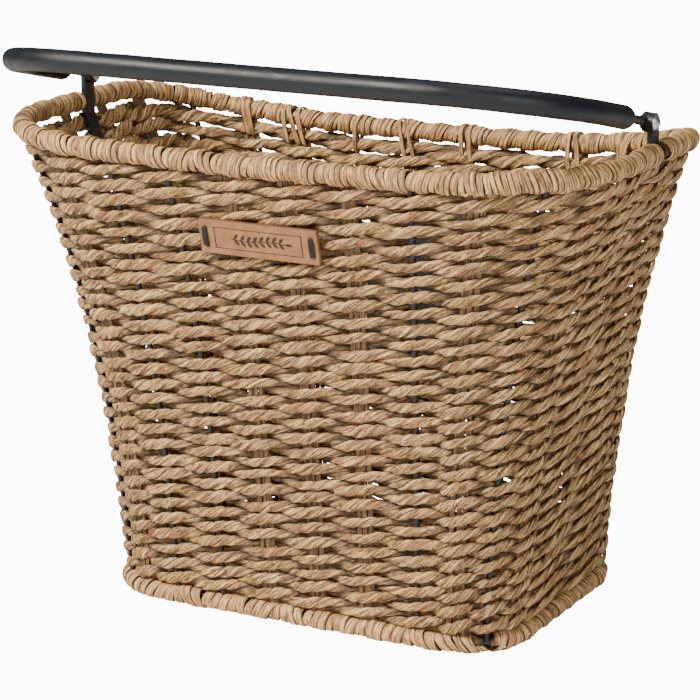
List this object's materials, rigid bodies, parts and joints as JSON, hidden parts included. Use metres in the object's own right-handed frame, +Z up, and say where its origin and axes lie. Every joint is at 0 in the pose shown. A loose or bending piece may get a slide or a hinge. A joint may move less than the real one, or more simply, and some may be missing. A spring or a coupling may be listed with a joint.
{
  "type": "handlebar basket",
  "caption": "Twined fibre basket on a steel wire frame with a padded folding bail handle, a leather tag and a rear plate that hangs it on a handlebar bracket.",
  "frame": {"origin": "on the floor, under the middle of the bounding box", "axes": "+X along the rim to the right of someone facing the front with the leather tag, -Y out of that front, +Y towards the bicycle, +Z up"},
  "size_m": [0.3824, 0.2725, 0.3308],
  "materials": {
    "black_steel": "black powder coat, satin",
    "zinc_steel": "zinc plated steel",
    "fibre_wrap": "flat strips of straw coloured fibre wound round the wire",
    "woven_fibre": "twisted strands of straw coloured fibre, mottled, matt",
    "stake_strip": "flat tan strips in threes",
    "tag_leather": "tan smooth leather",
    "black_thread": "black waxed thread",
    "black_plastic": "black glass filled nylon",
    "grip_foam": "charcoal closed cell foam tube"
  },
  "bodies": {
    "basket": {"top_rim_wire": "black_steel", "top_wrap_front": "fibre_wrap", "top_wrap_back": "fibre_wrap", "base_ring_wire": "black_steel", "base_wrap": "fibre_wrap", "front_uprights": "black_steel", "corner_uprights": "black_steel", "back_uprights": "black_steel", "plate_crossbars": "black_steel", "floor_wires": "black_steel", "woven_front": "woven_fibre", "woven_back": "woven_fibre", "woven_left": "woven_fibre", "woven_right": "woven_fibre", "woven_floor": "woven_fibre", "stakes": "stake_strip", "leather_tag": "tag_leather", "tag_stitches": "black_thread", "bracket_left": "black_steel", "bracket_right": "black_steel", "rivet_left": "zinc_steel", "rivet_right": "zinc_steel", "washer_left": "black_plastic", "washer_right": "black_plastic", "release_plate": "black_plastic", "backing_plate": "black_plastic", "plate_screws": "zinc_steel", "plate_washers": "zinc_steel", "plate_nuts": "zinc_steel"},
    "handle": {"bail_wire_frame": "black_steel", "foam_grip": "grip_foam"}
  },
  "joints": [
    {"name": "handle_pivot", "type": "hinge", "parent": "basket", "child": "handle", "pos_m": [0, 0.00188, 0.2944], "axis": [-1, 0, 0], "range_deg": [-16, 172]}
  ]
}
